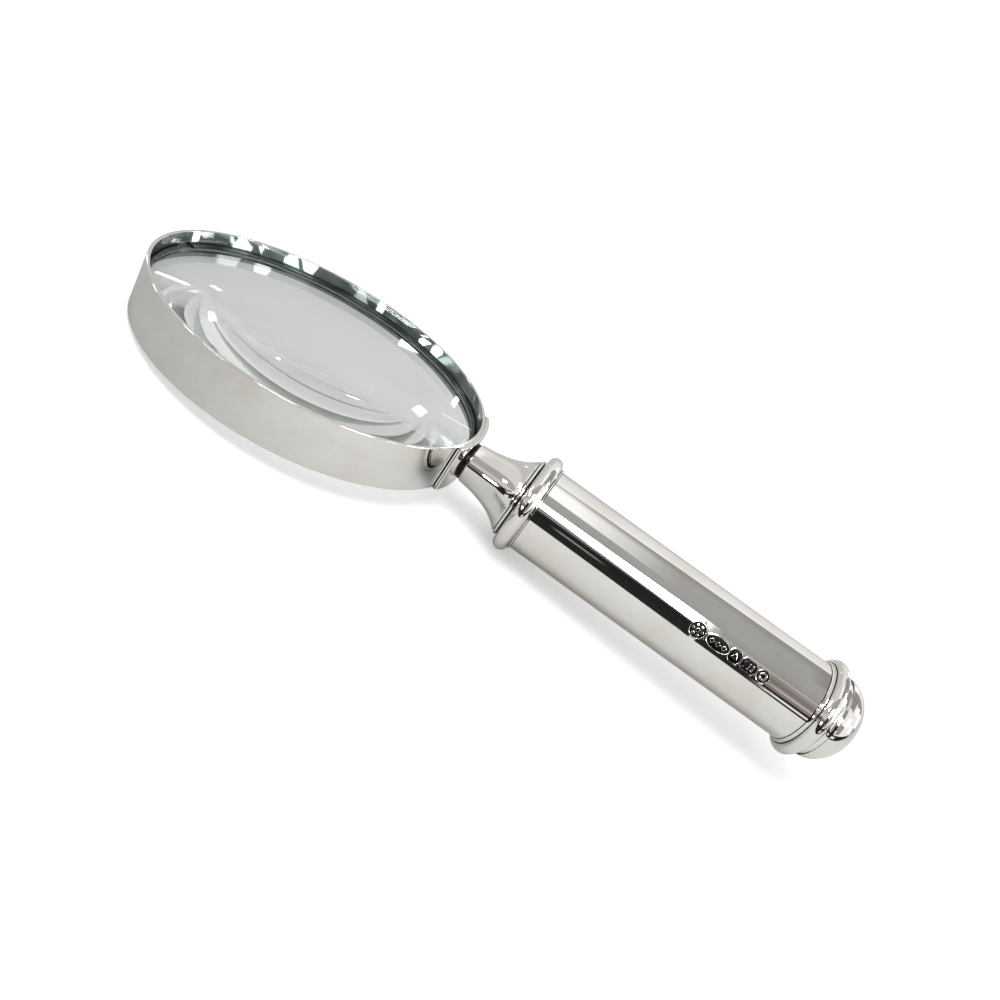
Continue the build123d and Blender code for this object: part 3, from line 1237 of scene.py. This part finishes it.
@dataclass
class Studio:
    """A pale table, a soft overhead light, the panels that the silver reflects, and the camera."""

    table_touches: tuple[Pair, Pair] = ((-39.0, -5.5), (56.2, -12.0))
    table_x: Pair = (-900.0, 1100.0)
    table_y: Pair = (-98.0, 1500.0)
    table_colour: str = "#DEDEDD"
    # painted shade: the card's colour towards -X, standing in for dimmer light there
    table_painted_shade_colour: str = "#B4B4B3"
    table_painted_shade_x: Pair = (-60.0, 75.0)
    table_fibre: float = 3.0
    # the second glow is painted light, brightening the card where it is seen through the glass
    table_lift: Pair = (0.32, 0.3)
    eye_white: str = "#FAFAFA"
    backdrop: float = 1.2
    fill: float = 0.76
    # greys of the room in front and overhead, and of the rear wall, by the angle they are seen at
    room_span: Pair = (-180.0, 180.0)
    room_tones: tuple[Pair, ...] = (
        (-180.0, 0.6), (-100.0, 0.5), (-60.0, 0.03), (23.0, 0.016), (27.0, 0.28), (47.0, 0.36),
        (60.0, 0.395), (104.0, 0.40), (118.0, 0.33),
    )
    wall_span: Pair = (110.0, 200.0)
    wall_tones: tuple[Pair, ...] = (
        (113.0, 1.04), (118.0, 0.93), (128.0, 0.87), (145.0, 0.82), (158.0, 0.70), (168.0, 0.57),
        (190.0, 0.60),
    )
    wall_edge: Pair = (112.2, 113.8)
    wall_lean: float = -0.9
    softbox_place: Triple = (20.0, -160.0, 620.0)
    softbox_aim: Triple = (50.0, 0.0, 0.0)
    softbox_size: float = 420.0
    softbox_watts: float = 1.6
    focal_length: float = 30.0
    sensor_width: float = 36.0
    camera_place: Triple = (56.27, -167.54, 73.54)
    camera_right: Triple = (0.81104, 0.26688, 0.52057)
    camera_down: Triple = (0.58488, -0.35208, -0.73073)
    camera_forward: Triple = (-0.01173, 0.89712, -0.44164)
    camera_shift: Pair = (0.0011, 0.0278)
    cards: tuple[Card, ...] = (
        # front strip light
        Card((34.0, 45.8), (-9.0, 14.0), (9.0, 9.0, 9.0), (0.55, 0.55, 2.0, 1.1), (-0.6, 0.25)),
        # bright end of the ceiling
        Card((71.0, 108.0), (-18.0, 6.8), (1.12, 1.12, 1.11), (1.2, 11.0, 4.0, 5.6)),
        # the room beyond the lens: floor line, low wall, ceiling
        Card((4.0, 19.0), (-90.0, -11.5), (0.21, 0.18, 0.18), (1.5, 2.0, 1.0, 1.5)),
        Card((19.0, 37.0), (-90.0, -11.5), (0.62, 0.61, 0.6), (2.0, 3.0, 1.0, 1.5)),
        Card((37.0, 66.0), (-90.0, -11.5), (0.42, 0.41, 0.4), (3.0, 3.0, 1.0, 1.5)),
        Card((66.0, 118.0), (-90.0, -16.0), (0.72, 0.71, 0.7), (4.0, 4.0, 1.0, 3.0)),
        # faint things in the dark part of the room
        Card((4.0, 10.0), (14.5, 18.0), (0.24, 0.21, 0.20), (1.0, 2.0, 0.6, 0.6)),
        Card((2.5, 26.5), (19.0, 24.5), (0.235, 0.195, 0.19), (1.0, 1.5, 0.6, 0.6)),
        Card((9.0, 15.5), (19.6, 24.0), (0.46, 0.43, 0.42), (1.0, 1.5, 0.6, 0.6)),
        Card((35.6, 38.4), (15.5, 24.5), (0.56, 0.53, 0.52), (0.6, 0.6, 1.2, 0.6)),
        Card((21.0, 30.0), (14.2, 16.4), (0.45, 0.44, 0.43), (1.0, 2.0, 0.5, 0.5)),
        Card((10.0, 14.0), (2.6, 6.2), (0.24, 0.24, 0.24), (1.0, 1.0, 0.5, 0.5)),
        Card((-10.0, -3.5), (19.5, 40.0), (0.9, 0.88, 0.86), (0.6, 0.6, 0.8, 0.8)),
        # the room beyond the domed end: white walls with two doorways
        Card((1.5, 118.0), (25.0, 90.0), (0.98, 0.98, 0.98), (1.0, 3.0, 1.5, 1.0)),
        Card((82.0, 126.0), (22.0, 44.0), (0.30, 0.29, 0.28), (2.0, 3.0, 1.0, 2.0)),
        Card((5.0, 33.0), (24.0, 47.0), (0.36, 0.31, 0.31), (1.5, 2.0, 1.0, 2.0)),
        # windows, far brighter than the room
        Card((104.0, 126.0), (54.0, 61.0), (30.0, 31.0, 31.0), (0.5, 0.5, 0.4, 0.4)),
        Card((38.0, 47.0), (41.0, 56.0), (30.0, 31.0, 31.0), (0.5, 0.5, 0.4, 0.4)),
        Card((50.0, 62.0), (46.0, 57.0), (20.0, 23.0, 25.0), (0.5, 0.5, 0.4, 0.4)),
        Card((42.0, 50.0), (-54.0, -46.0), (30.0, 31.0, 31.0), (0.5, 0.5, 0.4, 0.4)),
        Card((149.0, 156.0), (27.0, 33.0), (26.0, 26.0, 26.0), (0.5, 0.5, 0.4, 0.4)),
        Card((27.0, 31.0), (-6.5, -1.5), (24.0, 26.0, 27.0), (0.4, 0.4, 0.4, 0.4)),
        Card((125.0, 158.0), (62.0, 78.0), (5.0, 5.0, 5.0), (3.0, 3.0, 2.0, 2.0)),
        Card((30.0, 72.0), (72.0, 80.0), (7.0, 7.0, 7.0), (3.0, 3.0, 1.0, 1.0)),
        Card((6.0, 12.0), (-42.0, -26.0), (14.0, 14.0, 14.0), (0.6, 0.6, 0.6, 0.6)),
        Card((100.0, 118.0), (-78.0, -70.0), (30.0, 30.0, 30.0), (0.5, 0.5, 0.5, 0.5)),
        Card((153.2, 153.8), (-34.5, -30.0), (9.0, 9.0, 9.0), (0.15, 0.15, 0.4, 0.4)),
        Card((155.0, 157.2), (-6.6, -5.6), (8.0, 8.0, 8.0), (0.3, 0.3, 0.2, 0.2)),
    )

    def build(self) -> None:
        """Makes the table, the lights, the surroundings and the camera."""
        self.table()
        self.softbox()
        self.surroundings()
        self.camera()

    def table(self) -> None:
        """The pale table that the lens rests on: the rim's far edge and the front bead touch it."""
        (x0, z0), (x1, z1) = self.table_touches
        slope = (z1 - z0) / (x1 - x0)
        bm = bmesh.new()
        bmesh.ops.create_grid(bm, x_segments=1, y_segments=1, size=0.5)
        for vert in bm.verts:
            x, y = self.table_x[vert.co.x > 0], self.table_y[vert.co.y > 0]
            vert.co = Vector((x, y, z0 + slope * (x - x0) - CLEARANCE)) * MM
        bmesh.ops.recalc_face_normals(bm, faces=bm.faces[:])
        link(bm, "table", [self.table_finish()])

    def table_finish(self) -> Material:
        """Matt white card, lifted to pure white where the eye sees it directly; painted shade darkens
        it towards -X and a painted glow brightens it seen through the glass.

        Returns:
            The material.
        """
        material, tree, place = bare_material("matt_white_card")
        fibres = add_node(tree, "TexNoise", {
            "Vector": place, "Scale": per_mm(self.table_fibre), "Detail": 2.0, "Roughness": 0.5,
        })
        mottle = add_node(tree, "ValToRGB", {"Fac": fibres}, stops=[
            (0.3, linear("#FCFCFB")), (0.7, linear("#FFFFFF")),
        ])
        # painted shade: the card darkens smoothly towards -X
        axes = add_node(tree, "SeparateXYZ", {"Vector": place})
        painted_shade_falloff = add_node(tree, "MapRange", {
            "Value": axes.outputs["X"], "From Min": self.table_painted_shade_x[0] * MM,
            "From Max": self.table_painted_shade_x[1] * MM,
        }, interpolation_type="SMOOTHSTEP")
        shade = add_node(tree, "ValToRGB", {"Fac": painted_shade_falloff}, stops=[
            (0.0, linear(self.table_painted_shade_colour)), (1.0, linear(self.table_colour)),
        ])
        colour = add_node(tree, "Mix", {"Factor": 1.0, "A": shade, "B": mottle},
                          data_type="RGBA", blend_type="MULTIPLY")
        path = add_node(tree, "LightPath").outputs
        seen = add_node(tree, "Mix", {
            "Factor": path["Is Camera Ray"], "A": colour, "B": linear(self.eye_white),
        }, data_type="RGBA")
        diffuse = add_node(tree, "BsdfDiffuse", {"Color": seen})
        # painted glow: the card shines where it is seen through the glass, standing in for light that
        # the lens lets down onto it
        seen_lift, painted_glow_through_glass = self.table_lift
        through = add_node(tree, "Math", {0: path["Is Transmission Ray"], 1: painted_glow_through_glass},
                           operation="MULTIPLY")
        lift = add_node(tree, "Math", {0: path["Is Camera Ray"], 1: seen_lift, 2: through},
                        operation="MULTIPLY_ADD")
        glow = add_node(tree, "Emission", {"Color": (1, 1, 1, 1), "Strength": lift})
        both = add_node(tree, "AddShader", {0: diffuse, 1: glow})
        add_node(tree, "OutputMaterial", {"Surface": both})
        return material

    def softbox(self) -> None:
        """A soft light over the table that the polished surfaces don't mirror."""
        lamp = bpy.data.lights.new("overhead_softbox", "AREA")
        lamp.shape = "DISK"
        lamp.size = self.softbox_size * MM
        lamp.energy = self.softbox_watts
        made = bpy.data.objects.new("overhead_softbox", lamp)
        made.location = Vector(self.softbox_place) * MM
        aim = Vector(self.softbox_aim) - Vector(self.softbox_place)
        made.rotation_euler = aim.to_track_quat("-Z", "Y").to_euler()
        made.visible_glossy = False
        made.visible_camera = False
        bpy.context.scene.collection.objects.link(made)

    def surroundings(self) -> None:
        """The room and its panels, as the polished surfaces see them."""
        world = bpy.data.worlds.new("studio")
        bpy.context.scene.world = world
        world.use_nodes = True
        tree = world.node_tree
        tree.nodes.clear()
        heading = add_node(tree, "TexCoord").outputs["Generated"]
        axes = add_node(tree, "SeparateXYZ", {"Vector": heading}).outputs
        front = add_node(tree, "Math", {0: axes["Y"], 1: -1.0}, operation="MULTIPLY")
        over = add_node(tree, "Math", {0: axes["Z"], 1: front}, operation="ARCTAN2")
        rise = add_node(tree, "Math", {0: over}, operation="DEGREES")
        across = add_node(tree, "Math", {0: axes["X"]}, operation="ARCSINE")
        side = add_node(tree, "Math", {0: across}, operation="DEGREES")
        leaned = add_node(tree, "Math", {0: side, 1: self.wall_lean, 2: rise}, operation="MULTIPLY_ADD")
        room = self.toned(tree, rise, self.room_span, self.room_tones)
        wall = self.toned(tree, leaned, self.wall_span, self.wall_tones)
        beyond = add_node(tree, "MapRange", {
            "Value": leaned, "From Min": self.wall_edge[0], "From Max": self.wall_edge[1],
        }, interpolation_type="SMOOTHSTEP")
        colour = add_node(tree, "Mix", {"Factor": beyond, "A": room, "B": wall}, data_type="RGBA")
        for card in self.cards:
            colour = self.hang(tree, card, rise, side, colour)
        path = add_node(tree, "LightPath").outputs
        mirrored = add_node(tree, "Math", {0: path["Is Glossy Ray"], 1: path["Is Transmission Ray"]},
                            operation="MAXIMUM")
        undiffused = add_node(tree, "Math", {0: 1.0, 1: path["Diffuse Depth"]},
                              operation="SUBTRACT", use_clamp=True)
        polished = add_node(tree, "Math", {0: mirrored, 1: undiffused}, operation="MULTIPLY")
        reflected = add_node(tree, "Background", {"Color": colour, "Strength": 1.0})
        white = (1, 1, 1, 1)
        plain = add_node(tree, "Background", {"Color": white, "Strength": self.backdrop})
        even = add_node(tree, "Background", {"Color": white, "Strength": self.fill})
        lit = add_node(tree, "MixShader", {0: polished, 1: even, 2: reflected})
        seen = add_node(tree, "MixShader", {0: path["Is Camera Ray"], 1: lit, 2: plain})
        add_node(tree, "OutputWorld", {"Surface": seen})
        scene = bpy.context.scene
        scene.view_settings.view_transform = "Standard"
        scene.cycles.max_bounces = 32
        scene.cycles.glossy_bounces = 20
        scene.cycles.transmission_bounces = 24

    def toned(self, tree: NodeTree, angle: Node, span: Pair, tones: tuple[Pair, ...]) -> Node:
        """A part of the room whose slightly warm grey changes with an angle.

        Args:
            tree: the world's nodes.
            angle: the angle's node, in degrees.
            span: the angles that the tones are spread over.
            tones: the greys, as (angle, value) pairs.

        Returns:
            The colour's node.
        """
        low, high = span
        place = add_node(tree, "MapRange", {"Value": angle, "From Min": low, "From Max": high})
        return add_node(tree, "ValToRGB", {"Fac": place}, stops=[
            ((at - low) / (high - low), (tone, tone * 0.99, tone * 0.975, 1.0)) for at, tone in tones
        ])

    def hang(self, tree: NodeTree, card: Card, rise: Node, side: Node, under: Node) -> Node:
        """Lays one panel over the room's colour.

        Args:
            tree: the world's nodes.
            card: the panel.
            rise: the direction's rise in degrees.
            side: the direction's side angle in degrees.
            under: the colour so far.

        Returns:
            The colour with the panel in it.
        """
        mask = None
        for index, (edge, soft) in enumerate(zip(card.rise + card.side, card.soft)):
            value = side if index > 1 else add_node(
                tree, "Math", {0: side, 1: -card.lean[index], 2: rise}, operation="MULTIPLY_ADD")
            step = add_node(tree, "MapRange", {
                "Value": value, "From Min": edge - soft, "From Max": edge + soft,
                "To Min": index % 2, "To Max": 1 - index % 2,
            }, interpolation_type="SMOOTHSTEP")
            mask = step if mask is None else add_node(
                tree, "Math", {0: mask, 1: step}, operation="MULTIPLY")
        return add_node(tree, "Mix", {"Factor": mask, "A": under, "B": (*card.light, 1.0)},
                        data_type="RGBA")

    def camera(self) -> None:
        """The camera at the chosen angle."""
        lens = bpy.data.cameras.new("camera")
        lens.lens = self.focal_length
        lens.sensor_width = self.sensor_width
        lens.shift_x, lens.shift_y = self.camera_shift
        lens.clip_start = 0.01
        lens.clip_end = 20.0
        made = bpy.data.objects.new("camera", lens)
        columns = (Vector(self.camera_right), -Vector(self.camera_down), -Vector(self.camera_forward))
        turn = Matrix(columns).transposed().to_4x4()
        made.matrix_world = Matrix.Translation(Vector(self.camera_place) * MM) @ turn
        bpy.context.scene.collection.objects.link(made)
        bpy.context.scene.camera = made


def main() -> None:
    """Builds the studio and every piece."""
    logging.basicConfig(level=logging.INFO, format="%(name)s: %(message)s")
    Studio().build()
    finishes = Finishes()
    for assembly in (LensFrame, NeckWasher, Ferrule, Collar, Grip, EndCap, InnerWorks):
        assembly(finishes).build()


if __name__ == "__main__":
    main()
